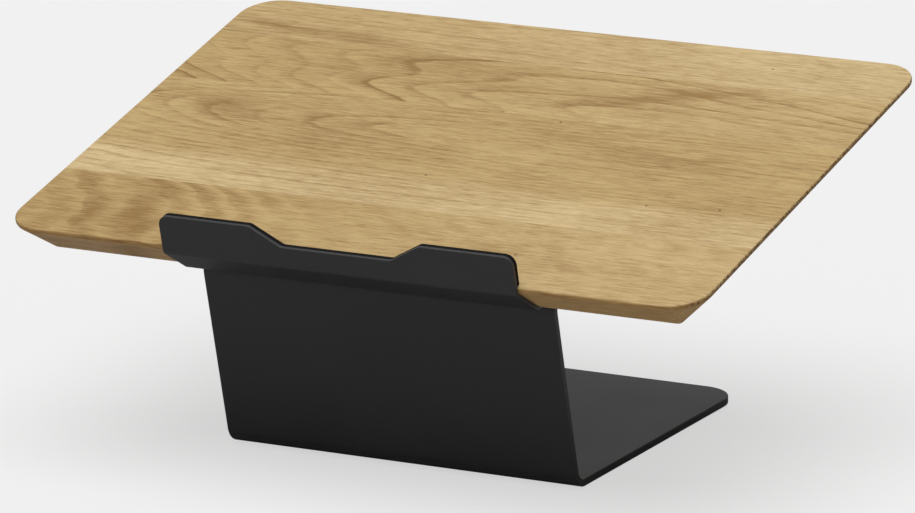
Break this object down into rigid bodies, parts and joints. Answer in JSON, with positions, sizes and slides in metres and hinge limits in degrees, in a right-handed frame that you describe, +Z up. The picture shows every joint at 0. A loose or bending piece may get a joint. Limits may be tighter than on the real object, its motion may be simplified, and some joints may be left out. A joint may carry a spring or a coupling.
{
  "type": "laptop stand",
  "caption": "Fixed desk stand for a laptop: a sloping oak board carried by a C-shaped folded steel plate, with a low notched stop along the board's front edge.",
  "frame": {"origin": "centre of the footprint of the whole stand, on the surface that it stands on", "axes": "+X along the board, to the right of a person sitting at it; +Y from the front stop to the raised back edge; +Z up"},
  "size_m": [0.4, 0.2792, 0.187],
  "materials": {
    "oak": "matt clear oil",
    "black_powder_coat": "fine matt texture",
    "liner": "matt",
    "non_slip_sheet": "matt",
    "zinc_plated_steel": "bright zinc",
    "insert_alloy": "plain"
  },
  "bodies": {
    "root": {"stave_front": "oak", "stave_middle": "oak", "stave_figured": "oak", "stave_rear": "oak", "frame": "black_powder_coat", "front_stop": "black_powder_coat", "stop_pad": "liner", "base_pad": "non_slip_sheet", "board_screws": "zinc_plated_steel", "washers": "zinc_plated_steel", "threaded_inserts": "insert_alloy"}
  },
  "joints": []
}
